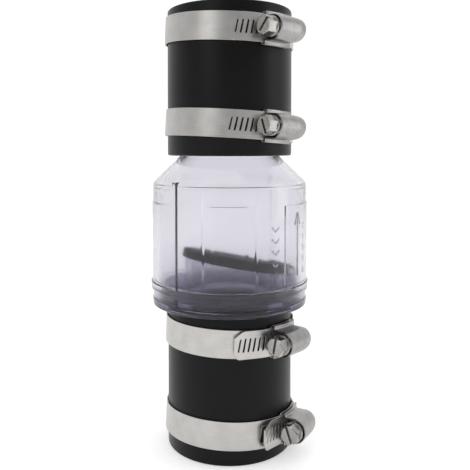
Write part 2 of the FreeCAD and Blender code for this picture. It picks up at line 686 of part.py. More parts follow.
def make_screw(name, place):
    """Hex-head worm. Its own +Z is the screw's axis, towards the head."""
    body = new_body(name, place)
    worm_top = less(cell("hood_front"), cell("hood_wall"), cell("worm_end_play"))
    collar_base = total(cell("hood_front"), cell("collar_play"))
    hex_base = total(collar_base, cell("collar_thickness"))
    head_top = total(hex_base, cell("hex_height"))
    pilot_end = f"(-{total(cell('hood_back'), cell('pilot_overhang'))})"
    worm_end = f"(-{WORM_BACK})"
    revolve(body, name + "_shank", [
        ("0", pilot_end),
        (cell("pilot_radius"), pilot_end),
        (cell("pilot_radius"), worm_end),
        (cell("worm_core_radius"), worm_end),
        (cell("worm_core_radius"), worm_top),
        (cell("neck_radius"), worm_top),
        (cell("neck_radius"), collar_base),
        (cell("collar_radius"), collar_base),
        (cell("collar_radius"), hex_base),
        ("0", hex_base)])
    corner = f"({cell('hex_across_flats')} / (2 * cos(30)))"
    hexagon = [(f"({corner} * cos({60 * step}))", f"({corner} * sin({60 * step}))") for step in range(6)]
    sketch = polygon_sketch(body, name + "_hexagon", hexagon, "XY_Plane", hex_base)
    head = body.newObject("PartDesign::Pad", name + "_head")
    head.Profile = sketch
    bind(head, Length=cell("hex_height"))
    document.recompute()
    primitive(body, "SubtractiveBox", name + "_driver_slot",
              spot(f"-{cell('hex_across_flats')}", f"-{half(cell('driver_slot_width'))}",
                   less(head_top, cell("driver_slot_depth"))),
              Length=f"(2 * {cell('hex_across_flats')})", Width=cell("driver_slot_width"),
              Height=total(cell("driver_slot_depth"), str(OVERCUT)))
    thread_start = total(worm_end, cell("worm_lead_in"))
    flank, crest, root = 0.42, 0.16, less(cell("worm_core_radius"), "0.1")
    profile = polygon_sketch(body, name + "_thread_profile", [
        (root, thread_start),
        (root, total(thread_start, f"{2 * flank} * {cell('worm_pitch')}")),
        (cell("worm_radius"), total(thread_start, f"{flank + crest} * {cell('worm_pitch')}")),
        (cell("worm_radius"), total(thread_start, f"{flank - crest} * {cell('worm_pitch')}"))])
    thread = body.newObject("PartDesign::AdditiveHelix", name + "_thread")
    thread.Profile = profile
    thread.ReferenceAxis = (profile, ["V_Axis"])
    thread.Mode = 0
    bind(thread, Pitch=cell("worm_pitch"), Height=THREAD_LENGTH)
    document.recompute()
    return body


for clamp, (azimuth, lean_x, lean_y, tail_angle, straight, turn) in CLAMP_FITTING.items():
    hoop = chain(spot("0", "0", CLAMP_HEIGHTS[clamp], "1; 0; 0", str(lean_x)),
                 spot("0", "0", "0", "0; 1; 0", str(lean_y)),
                 spot("0", "0", "0", "0; 0; 1", str(azimuth - 90)))
    screw_spot = chain(hoop, spot(SCREW_AXIS, "0", "0", "1; 0; 0", "90"),
                       spot("0", "0", "0", "0; 0; 1", str(turn)))
    nodes += [make_band(clamp + "_band", hoop, tail_angle, straight),
              make_housing(clamp + "_housing", hoop),
              make_saddle(clamp + "_saddle", hoop),
              make_screw(clamp + "_screw", screw_spot)]

# ---------------------------------------------------------------- checks and export
document.recompute()
for item in document.Objects:
    if "Invalid" in item.State or "Error" in item.State:
        raise RuntimeError(f"{item.Name} failed: {item.State}")
for node in nodes:
    if node.Shape.isNull() or not node.Shape.isValid() or len(node.Shape.Solids) != 1:
        raise RuntimeError(f"{node.Label} is not one valid solid")
os.makedirs("parts", exist_ok=True)
for node in nodes:
    node.Shape.exportStep(f"parts/{node.Label}.step")
    box = node.Shape.BoundBox
    print(f"{node.Label:24s} volume {node.Shape.Volume:9.1f}  z {box.ZMin:7.2f} to {box.ZMax:7.2f}")
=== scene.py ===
"""Looks of the in-line check valve: clear body, rubber sleeves and worm-drive clamps.

Sizes in this script are millimetres, and make_piece turns them into metres.
Azimuths are measured from the front (-Y) towards +X, in degrees.
"""
import json
import math
import bmesh
import bpy
from mathutils import Matrix, Vector


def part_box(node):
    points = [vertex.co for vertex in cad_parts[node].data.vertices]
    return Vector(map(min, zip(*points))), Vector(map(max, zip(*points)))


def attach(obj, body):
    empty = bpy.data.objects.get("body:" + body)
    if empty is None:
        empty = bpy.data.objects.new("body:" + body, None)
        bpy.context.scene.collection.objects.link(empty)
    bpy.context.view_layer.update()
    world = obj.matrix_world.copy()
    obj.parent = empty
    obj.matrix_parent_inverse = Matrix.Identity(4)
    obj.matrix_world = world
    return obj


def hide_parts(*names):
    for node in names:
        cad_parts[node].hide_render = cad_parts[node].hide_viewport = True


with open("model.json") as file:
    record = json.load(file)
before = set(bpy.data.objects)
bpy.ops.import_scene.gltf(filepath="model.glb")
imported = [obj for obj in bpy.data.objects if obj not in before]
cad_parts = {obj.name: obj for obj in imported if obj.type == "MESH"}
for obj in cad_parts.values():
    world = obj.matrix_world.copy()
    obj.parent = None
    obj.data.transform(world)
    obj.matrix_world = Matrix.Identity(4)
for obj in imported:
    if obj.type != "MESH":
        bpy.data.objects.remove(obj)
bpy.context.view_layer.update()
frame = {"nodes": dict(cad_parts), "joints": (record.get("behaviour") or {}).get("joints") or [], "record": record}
METRE = 1000.0


def box_mm(node):
    """Lowest and highest corner of a CAD node, in millimetres."""
    low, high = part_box(node)
    return low * METRE, high * METRE


# ---------------------------------------------------------------- sizes
inlet_low, inlet_high = box_mm("inlet_sleeve")
outlet_low = box_mm("outlet_sleeve")[0]
lower_low = box_mm("lower_body")[0]
upper_low, upper_high = box_mm("upper_body")
mounts = {mount["name"]: mount for mount in frame["record"]["mounts"]}
joints = {joint["name"]: joint for joint in frame["joints"]}

SLEEVE_OUTER = inlet_high.x
SLEEVE_BORE = mounts["inlet_bore"]["dims"]["r_mm"]
SLEEVE_LENGTH = inlet_high.z - inlet_low.z
PIPE_DEPTH = mounts["inlet_bore"]["dims"]["length_mm"]
STOP_LIP = 3.58
STOP_THICKNESS = 3.0
SLEEVE_ROUND = 1.0

SPIGOT_OUTER = SLEEVE_BORE - 0.05
SPIGOT_BORE = SPIGOT_OUTER - 3.68
BODY_BASE = SLEEVE_LENGTH - 1.0
SLEEVE_SEAT_RADIUS = SLEEVE_OUTER + 0.35
SKIRT_BASE = upper_low.z
SEAM_GAP = 0.06
FLANGE_RADIUS = 37.545
BODY_RADIUS = 37.395
CHAMBER_RADIUS = BODY_RADIUS - 3.2
PLUG_RADIUS = CHAMBER_RADIUS - 0.05
PLUG_INNER = PLUG_RADIUS - 3.0
PLUG_TOP = BODY_BASE + 10.5
FLOOR = BODY_BASE + 4.5
RIM_LIFT = 0.95
RIM_LOW = BODY_BASE + 7.6
RIM_HIGH = RIM_LOW + 3.7
NECK = outlet_low.z - 0.2
BEVEL_TOP = NECK - 12.2
SHOULDER = BEVEL_TOP - 1.4
BEVEL_RADIUS = BODY_RADIUS - 0.5
PAD_TOP = SHOULDER - 8.2
SIDE_PAD = (41.5, 136.5, 0.45)
LEFT_PAD = (-135.5, -40.5, 0.45)
MID_PAD = (-19.0, 19.0, 0.15)
FRONT_PAD = (-11.3, 11.3, 0.3)
RIB_AZIMUTHS = (-40.5, 139.5)
RIB_WIDTH = 2.3
RIB_RADIUS = BODY_RADIUS + RIM_LIFT
RIB_TOP = SHOULDER + 2.0
SEAT_BORE = 19.2
SEAT_OUTER = SEAT_BORE + 2.6
SEAT_TILT = 12.0
SEAT_CENTRE = FLOOR + 9.37 + SEAT_OUTER * math.tan(math.radians(SEAT_TILT))
LOW_SIDE = math.degrees(math.atan2(*reversed(joints["flapper_swing"]["pos_m"][:2])))
HIGH_SIDE = LOW_SIDE + 180.0

BAND_RADIUS = SLEEVE_OUTER + 0.5
BAND_THICKNESS = 0.65
BAND_WIDTH = 12.7
TAIL_RADIUS = BAND_RADIUS + BAND_THICKNESS + 0.08
TAIL_OUTER = TAIL_RADIUS + BAND_THICKNESS
SADDLE_WIDTH = 14.8
SADDLE_FRONT = 7.6
SADDLE_BACK = 10.6
HOOD_FRONT = 7.0
HOOD_BACK = 10.0
HOOD_WALL = 0.75
# share of the rear taper by which the hood's dome moves up
TAPER_LIFT = 0.3
WORM_RADIUS = 4.45
SCREW_AXIS = TAIL_OUTER + 0.27 + WORM_RADIUS
DOME_RADIUS = WORM_RADIUS + 0.5 + HOOD_WALL
FOOT_RADIUS = TAIL_OUTER + 1.0
JOGGLE = (21.5, 26.0)
SLOT_PITCH = 2.4
SLOT_MARGIN = 2.6
SLOT_LENGTH = 6.2
SLOT_WIDTH = 0.8
SLOT_SLANT = math.tan(math.radians(10.0))
SLOTS_PER_BAND = 30
TAIL_CORNER = 3.0
# how far inside the tail's tip the painted shade on the hoop beneath it ends
SHADE_INSET = 1.6

# Each clamp's azimuth, lean about X and about Y, tail angle, straight tail end and screw turn
CLAMPS = {
    "inlet_pipe": (63.0, -2.82, 1.9, 12.5, 14.0, 112.0),
    "inlet_body": (50.0, -0.44, 1.8, 27.5, 11.0, 81.0),
    "outlet_body": (41.5, -0.74, 3.3, 45.5, 0.0, 115.0),
    "outlet_pipe": (41.0, 2.34, 2.3, 40.3, 0.0, 51.0),
}


# ---------------------------------------------------------------- materials
def new_material(name):
    """Node material: the tree, its Principled shader and a maker of linked nodes."""
    material = bpy.data.materials.new(name)
    material.use_nodes = True
    tree = material.node_tree
    shader = tree.nodes["Principled BSDF"]

    def node(kind, inputs=None, **settings):
        item = tree.nodes.new(kind)
        for key, value in settings.items():
            setattr(item, key, value)
        for key, value in (inputs or {}).items():
            if isinstance(value, bpy.types.NodeSocket):
                tree.links.new(value, item.inputs[key])
            else:
                item.inputs[key].default_value = value
        return item

    return material, tree, shader, node


def set_shader(shader, **values):
    for key, value in values.items():
        shader.inputs[key.replace("_", " ")].default_value = value


def ramp(node, factor, stops):
    """Colour ramp with (place, grey or colour) stops."""
    item = node("ShaderNodeValToRGB", {"Fac": factor})
    elements = item.color_ramp.elements
    while len(elements) < len(stops):
        elements.new(0.5)
    for element, (place, tone) in zip(elements, stops):
        element.position = place
        element.color = tone if isinstance(tone, tuple) else (tone, tone, tone, 1.0)
    return item.outputs["Color"]


def spread(node, value, low, high):
    """Maps a 0 to 1 value onto low to high."""
    return node("ShaderNodeMapRange", {"Value": value, "To Min": low, "To Max": high}).outputs["Result"]


def object_noise(node, scale, detail=3.0, stretch=(1.0, 1.0, 1.0)):
    """Noise in object space, scale in features per metre."""
    place = node("ShaderNodeTexCoord").outputs["Object"]
    mapped = node("ShaderNodeMapping", {"Vector": place, "Scale": stretch}).outputs["Vector"]
    return node("ShaderNodeTexNoise", {"Vector": mapped, "Scale": scale, "Detail": detail}).outputs["Fac"]


def clear_plastic(name, roughness, clarity):
    """Lavender-tinted clear moulding, darker in colour towards its foot."""
    material, tree, shader, node = new_material(name)
    set_shader(shader, Transmission_Weight=clarity, IOR=1.44)
    place = node("ShaderNodeTexCoord").outputs["Object"]
    height = node("ShaderNodeSeparateXYZ", {"Vector": place}).outputs["Z"]
    rise = node("ShaderNodeMapRange", {"Value": height, "From Min": BODY_BASE / METRE,
                                       "From Max": (BODY_BASE + TINT_RISE) / METRE}).outputs["Result"]
    tree.links.new(ramp(node, rise, TINT_STOPS), shader.inputs["Base Color"])
    ripple = object_noise(node, 60.0, 2.0)
    tree.links.new(spread(node, ripple, 0.8 * roughness, 1.2 * roughness), shader.inputs["Roughness"])
    flow = object_noise(node, 30.0, 1.0, (1.0, 1.0, 0.3))
    bump = node("ShaderNodeBump", {"Strength": 0.05, "Distance": 0.0004, "Height": flow})
    tree.links.new(bump.outputs["Normal"], shader.inputs["Normal"])
    return material


def rubber(name, tone, roughness):
    """Moulded rubber: fine matt grain, faint blooming and a soft sheen."""
    material, tree, shader, node = new_material(name)
    set_shader(shader, Specular_IOR_Level=0.17, Sheen_Weight=0.02, Sheen_Roughness=0.4)
    bloom = object_noise(node, 45.0, 6.0)
    dark = tuple(0.72 * part for part in tone) + (1.0,)
    light = tuple(1.5 * part for part in tone) + (1.0,)
    tree.links.new(ramp(node, bloom, [(0.3, dark), (0.75, light)]), shader.inputs["Base Color"])
    tree.links.new(spread(node, bloom, roughness - 0.06, roughness + 0.08), shader.inputs["Roughness"])
    grain = object_noise(node, 2600.0, 2.0)
    bump = node("ShaderNodeBump", {"Strength": 0.18, "Distance": 0.00006, "Height": grain})
    tree.links.new(bump.outputs["Normal"], shader.inputs["Normal"])
    return material


def brushed_steel(name, tone, roughness, along, across):
    """Rolled strip or drawn steel: streaks along the UV map's first axis, and stains."""
    material, tree, shader, node = new_material(name)
    set_shader(shader, Metallic=1.0, Anisotropic=0.55)
    place = node("ShaderNodeTexCoord").outputs["UV"]
    mapped = node("ShaderNodeMapping", {"Vector": place, "Scale": (along, across, 1.0)}).outputs["Vector"]
    streak = node("ShaderNodeTexNoise", {"Vector": mapped, "Scale": 1.0, "Detail": 5.0}).outputs["Fac"]
    stain = object_noise(node, 160.0, 4.0)
    low = tuple(0.8 * part for part in tone) + (1.0,)
    high = tuple(min(1.0, 1.12 * part) for part in tone) + (1.0,)
    streaks = ramp(node, streak, [(0.25, low), (0.75, high)])
    stains = ramp(node, stain, [(0.3, low), (0.7, high)])
    mixed = node("ShaderNodeMix", {"Factor": 0.4, "A": streaks, "B": stains}, data_type="RGBA")
    tree.links.new(mixed.outputs["Result"], shader.inputs["Base Color"])
    tree.links.new(spread(node, streak, roughness - 0.08, roughness + 0.12), shader.inputs["Roughness"])
    bump = node("ShaderNodeBump", {"Strength": 0.25, "Distance": 0.00002, "Height": streak})
    tree.links.new(bump.outputs["Normal"], shader.inputs["Normal"])
    return material


def worn_steel(name, tone, roughness, grain_scale, depth):
    """Pressed or machined steel: tumbled grain and handling marks."""
    material, tree, shader, node = new_material(name)
    set_shader(shader, Metallic=1.0)
    grain = object_noise(node, grain_scale, 6.0)
    blotch = object_noise(node, 250.0, 3.0)
    low = tuple(0.72 * part for part in tone) + (1.0,)
    high = tuple(min(1.0, 1.15 * part) for part in tone) + (1.0,)
    mixed = node("ShaderNodeMix", {"Factor": 0.5, "A": ramp(node, grain, [(0.3, low), (0.7, high)]),
                                   "B": ramp(node, blotch, [(0.3, low), (0.7, high)])}, data_type="RGBA")
    tree.links.new(mixed.outputs["Result"], shader.inputs["Base Color"])
    tree.links.new(spread(node, grain, roughness - 0.1, roughness + 0.12), shader.inputs["Roughness"])
    bump = node("ShaderNodeBump", {"Strength": 0.4, "Distance": depth, "Height": grain})
    tree.links.new(bump.outputs["Normal"], shader.inputs["Normal"])
    return material


TINT_RISE = 34.0
TINT_STOPS = [(0.0, (0.13, 0.125, 0.23, 1.0)), (0.11, (0.32, 0.315, 0.42, 1.0)),
              (0.28, (0.60, 0.59, 0.66, 1.0)), (0.45, (0.72, 0.71, 0.765, 1.0)),
              (1.0, (0.83, 0.825, 0.865, 1.0))]
CLEAR_POLISHED = clear_plastic("clear_pvc_polished", 0.04, 1.0)
CLEAR_CLOUDY = clear_plastic("clear_pvc_cloudy", 0.16, 0.99)
SLEEVE_RUBBER = rubber("sleeve_rubber", (0.0022, 0.0022, 0.0028), 0.36)
FLAPPER_RUBBER = rubber("flapper_rubber", (0.0025, 0.0032, 0.011), 0.7)
# painted shade: a near-black copy of the band steel for the hoop where the tail lies over it
BAND_PAINTED_SHADE = brushed_steel("band_painted_shade", (0.035, 0.033, 0.031), 0.5, 6.0, 900.0)
BAND_STEEL = brushed_steel("band_steel", (0.52, 0.505, 0.49), 0.3, 6.0, 900.0)
HOOD_STEEL = worn_steel("housing_steel", (0.34, 0.332, 0.325), 0.30, 1500.0, 0.00003)
SCREW_STEEL = worn_steel("screw_steel", (0.36, 0.345, 0.33), 0.24, 700.0, 0.0001)
PIN_STEEL = worn_steel("pin_steel", (0.60, 0.60, 0.61), 0.25, 2000.0, 0.00001)


# ---------------------------------------------------------------- mesh helpers
def make_piece(name, vertices, faces, materials, body, replaced=(), sharp=32.0, uvs=None,
               tints=None):
    """Mesh piece from millimetre vertices. tints names each face's material by number."""
    mesh = bpy.data.meshes.new(name)
    mesh.from_pydata([Vector(vertex) / METRE for vertex in vertices], [], faces)
    for material in materials:
        mesh.materials.append(material)
    if tints:
        mesh.polygons.foreach_set("material_index", tints)
    if uvs:
        layer = mesh.uv_layers.new(name="strip")
        for loop in mesh.loops:
            layer.data[loop.index].uv = uvs[loop.vertex_index]
    tidy = bmesh.new()
    tidy.from_mesh(mesh)
    bmesh.ops.remove_doubles(tidy, verts=tidy.verts, dist=1e-7)
    bmesh.ops.recalc_face_normals(tidy, faces=tidy.faces)
    tidy.to_mesh(mesh)
    tidy.free()
    mesh.shade_smooth()
    mesh.set_sharp_from_angle(angle=math.radians(sharp))
    piece = bpy.data.objects.new(name, mesh)
    bpy.context.scene.collection.objects.link(piece)
    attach(piece, body)
    if replaced:
        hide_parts(*replaced)
    return piece


def ring_faces(rings, count, closed_loop):
    """Quads between consecutive rings of count vertices each."""
    faces = []
    last = rings if closed_loop else rings - 1
    for ring in range(last):
        here, there = ring * count, ((ring + 1) % rings) * count
        for step in range(count):
            beside = (step + 1) % count
            faces.append((here + step, here + beside, there + beside, there + step))
    return faces


def around(radius, azimuth, height):
    """Point of the valve's own frame at an azimuth measured from the front."""
    turn = math.radians(azimuth)
    return (radius * math.sin(turn), -radius * math.cos(turn), height)


def rounded(corners, radii, steps=4):
    """Closed outline of (radius, height) with each corner of given radius turned into an arc."""
    outline = []
    count = len(corners)
    for index, (corner, radius) in enumerate(zip(corners, radii)):
        here = Vector(corner)
        if not radius:
            outline.append(tuple(here))
            continue
        before = (Vector(corners[index - 1]) - here).normalized()
        after = (Vector(corners[(index + 1) % count]) - here).normalized()
        half = before.angle(after) / 2
        reach = radius / math.tan(half)
        centre = here + (before + after).normalized() * radius / math.sin(half)
        start = here + before * reach - centre
        end = here + after * reach - centre
        sweep = start.angle_signed(end)
        for step in range(steps + 1):
            turn = -sweep * step / steps
            outline.append(tuple(centre + Matrix.Rotation(turn, 2) @ start))
    return outline


def even_azimuths(count):
    return [360.0 * step / count for step in range(count)]


# ---------------------------------------------------------------- sleeves
def make_sleeve(name, low, flip):
    """Rubber sleeve with rounded ends and a stop rib."""
    stop_end = PIPE_DEPTH + STOP_THICKNESS
    corners = [(SLEEVE_BORE, 0), (SLEEVE_OUTER, 0), (SLEEVE_OUTER, SLEEVE_LENGTH),
               (SLEEVE_BORE, SLEEVE_LENGTH), (SLEEVE_BORE, stop_end),
               (SLEEVE_BORE - STOP_LIP, stop_end), (SLEEVE_BORE - STOP_LIP, PIPE_DEPTH),
               (SLEEVE_BORE, PIPE_DEPTH)]
    outline = rounded(corners, [0.5, SLEEVE_ROUND, SLEEVE_ROUND, 0.35, 0.4, 0.6, 0.6, 0.4], 5)
    azimuths = even_azimuths(192)
    vertices = []
    for radius, height in outline:
        level = low + (SLEEVE_LENGTH - height if flip else height)
        vertices += [around(radius, azimuth, level) for azimuth in azimuths]
    faces = ring_faces(len(outline), len(azimuths), True)
    return make_piece(name + "_moulding", vertices, faces, [SLEEVE_RUBBER], "casing",
                      (name,), sharp=50.0)


make_sleeve("inlet_sleeve", inlet_low.z, False)
make_sleeve("outlet_sleeve", outlet_low.z, True)


# ---------------------------------------------------------------- clear body
def wall_azimuths():
    """Even azimuths, with a tight pair at each edge of a raised panel or rib."""
    edge = 0.35
    rib = math.degrees(RIB_WIDTH / 2 / BODY_RADIUS)
    stops = []
    for start, end, _ in (SIDE_PAD, LEFT_PAD, MID_PAD, FRONT_PAD):
        stops += [start, end]
    for azimuth in RIB_AZIMUTHS:
        stops += [azimuth - rib, azimuth + rib]
    pairs = sorted({round((stop + side * edge) % 360, 4) for stop in stops for side in (-1, 1)})
    plain = [azimuth for azimuth in even_azimuths(216)
             if all(abs((azimuth - other + 180) % 360 - 180) > 0.4 for other in pairs)]
    return sorted(plain + pairs)


def inside(azimuth, start, end):
    return (azimuth - start) % 360 < (end - start) % 360


def panel_lift(azimuth):
    return max([lift for start, end, lift in (SIDE_PAD, LEFT_PAD, MID_PAD, FRONT_PAD)
                if inside(azimuth, start, end)], default=0.0)


def on_rib(azimuth):
    half = math.degrees(RIB_WIDTH / 2 / BODY_RADIUS)
    return any(inside(azimuth, middle - half, middle + half) for middle in RIB_AZIMUTHS)


def seat_height(radius, azimuth):
    slope = math.tan(math.radians(SEAT_TILT))
    return SEAT_CENTRE + slope * radius * math.cos(math.radians(azimuth - 90.0 - HIGH_SIDE))


def lathe_wall(name, outline, cloudy_from, replaced):
    """Turned clear piece. Outline points are (radius, height, kind), and the faces from
    the point cloudy_from on are the cloudy inner ones."""
    azimuths = wall_azimuths()
    vertices = []
    for radius, height, kind in outline:
        for azimuth in azimuths:
            reach, level = radius, height
            if kind == "panel":
                reach += panel_lift(azimuth)
            if kind in ("panel", "ribbed") and on_rib(azimuth):
                reach = RIB_RADIUS
            if kind == "seat":
                level = seat_height(radius, azimuth)
            vertices.append(around(reach, azimuth, level))
    faces = ring_faces(len(outline), len(azimuths), True)
    tints = [int(face // len(azimuths) >= cloudy_from) for face in range(len(faces))]
    return make_piece(name, vertices, faces, [CLEAR_POLISHED, CLEAR_CLOUDY], "casing",
                      replaced, sharp=28.0, tints=tints)


def plain(points, kind="plain"):
    return [(radius, height, kind) for radius, height in points]


def bead(radius, height, size, start, end, kind="plain", steps=3):
    """Rounded corner of a turned wall: an arc of the given size about (radius, height)."""
    points = []
    for step in range(steps + 1):
        turn = math.radians(start + (end - start) * step / steps)
        points.append((radius + size * math.cos(turn), height + size * math.sin(turn), kind))
    return points


def make_upper_body():
    """Housing: skirt, rim, chamber wall with raised panels and ribs, cone and outlet spigot."""
    base = SKIRT_BASE + SEAM_GAP
    rim = BODY_RADIUS + RIM_LIFT
    cone_slope = (NECK - BEVEL_TOP) / (BEVEL_RADIUS - SPIGOT_OUTER)
    cone_inside = BEVEL_TOP - (BODY_RADIUS - CHAMBER_RADIUS) * math.sqrt(1 + cone_slope ** 2)
    inner_start = cone_inside + (BEVEL_RADIUS - CHAMBER_RADIUS) * cone_slope
    inner_end = cone_inside + (BEVEL_RADIUS - SPIGOT_BORE) * cone_slope
    rib_end = BEVEL_RADIUS - (RIB_TOP - BEVEL_TOP) / cone_slope
    end = upper_high.z
    outline = bead(BODY_RADIUS - 0.25, base + 0.25, 0.25, -90, 0, "ribbed")
    outline += plain([(BODY_RADIUS, RIM_LOW - 0.1)], "ribbed")
    outline += bead(rim - 0.3, RIM_LOW + 0.3, 0.3, -90, 0, "ribbed")
    outline += bead(rim - 0.3, RIM_HIGH - 0.3, 0.3, 0, 90, "ribbed")
    outline += plain([(BODY_RADIUS + 0.12, RIM_HIGH), (BODY_RADIUS, RIM_HIGH + 0.12)], "ribbed")
    outline += plain([(BODY_RADIUS, RIM_HIGH + 0.3), (BODY_RADIUS, PAD_TOP - 0.15)], "panel")
    outline += plain([(BODY_RADIUS, PAD_TOP), (BODY_RADIUS, SHOULDER - 0.35),
                      (BODY_RADIUS - 0.16, SHOULDER - 0.1), (BODY_RADIUS - 0.16, SHOULDER + 0.1),
                      (BODY_RADIUS - 0.1, SHOULDER + 0.3),
                      (BEVEL_RADIUS + 0.05, BEVEL_TOP - 0.2), (BEVEL_RADIUS - 0.2, BEVEL_TOP),
                      (BEVEL_RADIUS - 0.3, BEVEL_TOP + 0.25), (rib_end, RIB_TOP)], "ribbed")
    outline += plain([(rib_end - 0.1, RIB_TOP + 0.12)])
    outline += plain([(SPIGOT_OUTER + 0.4, NECK - 0.3), (SPIGOT_OUTER, NECK + 0.1)])
    outline += bead(SPIGOT_OUTER - 0.6, end - 0.6, 0.6, 0, 90)
    cloudy_from = len(outline)
    outline += bead(SPIGOT_BORE + 0.6, end - 0.6, 0.6, 90, 180)
    outline += plain([(SPIGOT_BORE, inner_end + 1.6), (SPIGOT_BORE + 0.35, inner_end + 0.2),
                      (SPIGOT_BORE + 1.4, inner_end - 1.4 * cone_slope),
                      (CHAMBER_RADIUS - 1.6, inner_start + 1.6 * cone_slope),
                      (CHAMBER_RADIUS - 0.45, inner_start + 0.1),
                      (CHAMBER_RADIUS, inner_start - 1.4), (CHAMBER_RADIUS, base)])
    return lathe_wall("upper_body_moulding", outline, cloudy_from, ("upper_body",))


def make_lower_body():
    """Base: inlet spigot, flange, plug ring, floor and the inclined seat tube."""
    low = lower_low.z
    outline = plain([(SPIGOT_BORE, low + 0.4), (SPIGOT_BORE + 0.4, low)])
    outline += bead(SPIGOT_OUTER - 0.6, low + 0.6, 0.6, -90, 0)
    outline += plain([(SPIGOT_OUTER, SLEEVE_LENGTH), (SLEEVE_SEAT_RADIUS, SLEEVE_LENGTH)])
    outline += bead(SLEEVE_SEAT_RADIUS + 0.3, BODY_BASE + 0.3, 0.3, 180, 270)
    outline += bead(FLANGE_RADIUS - 0.7, BODY_BASE + 0.7, 0.7, -90, 0)
    outline += bead(FLANGE_RADIUS - 0.2, SKIRT_BASE - 0.2, 0.2, 0, 90)
    outline += plain([(PLUG_RADIUS, SKIRT_BASE)])
    cloudy_from = len(outline)
    outline += bead(PLUG_RADIUS - 0.5, PLUG_TOP - 0.5, 0.5, 0, 90)
    outline += bead(PLUG_INNER + 0.5, PLUG_TOP - 0.5, 0.5, 90, 180)
    outline += bead(PLUG_INNER - 0.6, FLOOR + 0.6, 0.6, 0, -90)
    outline += bead(SEAT_OUTER + 0.6, FLOOR + 0.6, 0.6, -90, -180)
    outline += plain([(SEAT_OUTER, 0), (SEAT_BORE, 0)], "seat")
    outline += plain([(SEAT_BORE, BODY_BASE), (SPIGOT_BORE, BODY_BASE - 4.5)])
    return lathe_wall("lower_body_moulding", outline, cloudy_from, ("lower_body",))


make_upper_body()
make_lower_body()


def slab(corner, size, place, soften=0.15):
    """Vertices and faces of a small bar with chamfered edges, in a placed frame."""
    form = bmesh.new()
    bmesh.ops.create_cube(form, size=1.0)
    middle = [low + length / 2 for low, length in zip(corner, size)]
    for vertex in form.verts:
        vertex.co = Vector([centre + part * length
                            for centre, part, length in zip(middle, vertex.co, size)])
    bmesh.ops.bevel(form, geom=form.edges, offset=min(soften, min(size) * 0.3), segments=2,
                    profile=0.6, affect="EDGES")
    form.verts.ensure_lookup_table()
    vertices = [tuple(place @ vertex.co) for vertex in form.verts]
    faces = [tuple(vertex.index for vertex in face.verts) for face in form.faces]
    form.free()
    return vertices, faces


def join_shapes(shapes):
    vertices, faces = [], []
    for points, sides in shapes:
        start = len(vertices)
        vertices += points
        faces += [tuple(start + index for index in side) for side in sides]
    return vertices, faces


# ---------------------------------------------------------------- marks on the wall
def wall_place(azimuth, height, lean=0.0):
    """Frame on the raised panel: x outward, y towards a larger azimuth, z up."""
    turn = Matrix.Rotation(math.radians(azimuth - 90), 4, "Z")
    lean_turn = Matrix.Rotation(math.radians(lean), 4, "X")
    return Matrix.Translation((0, 0, height)) @ turn @ Matrix.Translation((BODY_RADIUS, 0, 0)) @ lean_turn


MARK_WIDTH = 0.7
MARK_ROOT = 0.1
SIDE_LIFT = SIDE_PAD[2]


def wall_bar(azimuth, height, length, lean=0.0, lift=0.0):
    corner = (lift - MARK_ROOT, -MARK_WIDTH / 2, 0)
    return slab(corner, (MARK_ROOT + 0.35, MARK_WIDTH, length), wall_place(azimuth, height, lean))


def make_marks():
    """Raised flow arrow, and generic dashes and chevrons in place of lettering."""
    arrow_low, arrow_length, barb, lean = BODY_BASE + 16.5, 29.0, 6.0, 22.0
    arrow = [wall_bar(55.0, arrow_low, arrow_length, lift=SIDE_LIFT)]
    barb_low = arrow_low + arrow_length - barb * math.cos(math.radians(lean))
    aside = math.degrees(barb * math.sin(math.radians(lean)) / BODY_RADIUS)
    for sign in (-1, 1):
        arrow.append(wall_bar(55.0 + sign * aside, barb_low, barb, sign * lean, SIDE_LIFT))
    signs = []
    for step in range(5):
        height = BODY_BASE + 17.0 + step * 5.2
        signs.append(wall_bar(64.0, height, 2.8, lift=SIDE_LIFT))
        signs += [wall_bar(33.0, height, 2.8, lean=side) for side in (-45.0, 45.0)]
    for name, shapes in (("flow_arrow", arrow), ("wall_marks", signs)):
        vertices, faces = join_shapes(shapes)
        make_piece(name, vertices, faces, [CLEAR_POLISHED], "casing", sharp=60.0)


make_marks()


# ---------------------------------------------------------------- hinge
EAR_THICKNESS = 3.2
EAR_RADIUS = 2.8
EAR_FOOT = 4.3
EAR_STARTS = (-11.5, 8.3)


def low_side_place():
    return Matrix.Translation((0, 0, BODY_BASE)) @ Matrix.Rotation(math.radians(LOW_SIDE), 4, "Z")


def make_ears():
    """The two rounded ears that hold the hinge pin."""
    hinge = Vector(joints["flapper_swing"]["pos_m"]) * METRE
    reach = math.hypot(hinge.x, hinge.y)
    top = hinge.z - BODY_BASE
    shapes = []
    for start in EAR_STARTS:
        outline = [(reach - EAR_RADIUS, EAR_FOOT), (reach + EAR_RADIUS, EAR_FOOT)]
        for step in range(13):
            turn = math.pi * step / 12
            outline.append((reach + EAR_RADIUS * math.cos(turn), top + EAR_RADIUS * math.sin(turn)))
        count = len(outline)
        place = low_side_place()
        vertices = [tuple(place @ Vector((x, side, z)))
                    for side in (start, start + EAR_THICKNESS) for x, z in outline]
        faces = [tuple(range(count)), tuple(range(2 * count - 1, count - 1, -1))]
        faces += [(step, (step + 1) % count, count + (step + 1) % count, count + step)
                  for step in range(count)]
        shapes.append((vertices, faces))
    vertices, faces = join_shapes(shapes)
    return make_piece("hinge_ears", vertices, faces, [CLEAR_POLISHED], "casing")


make_ears()


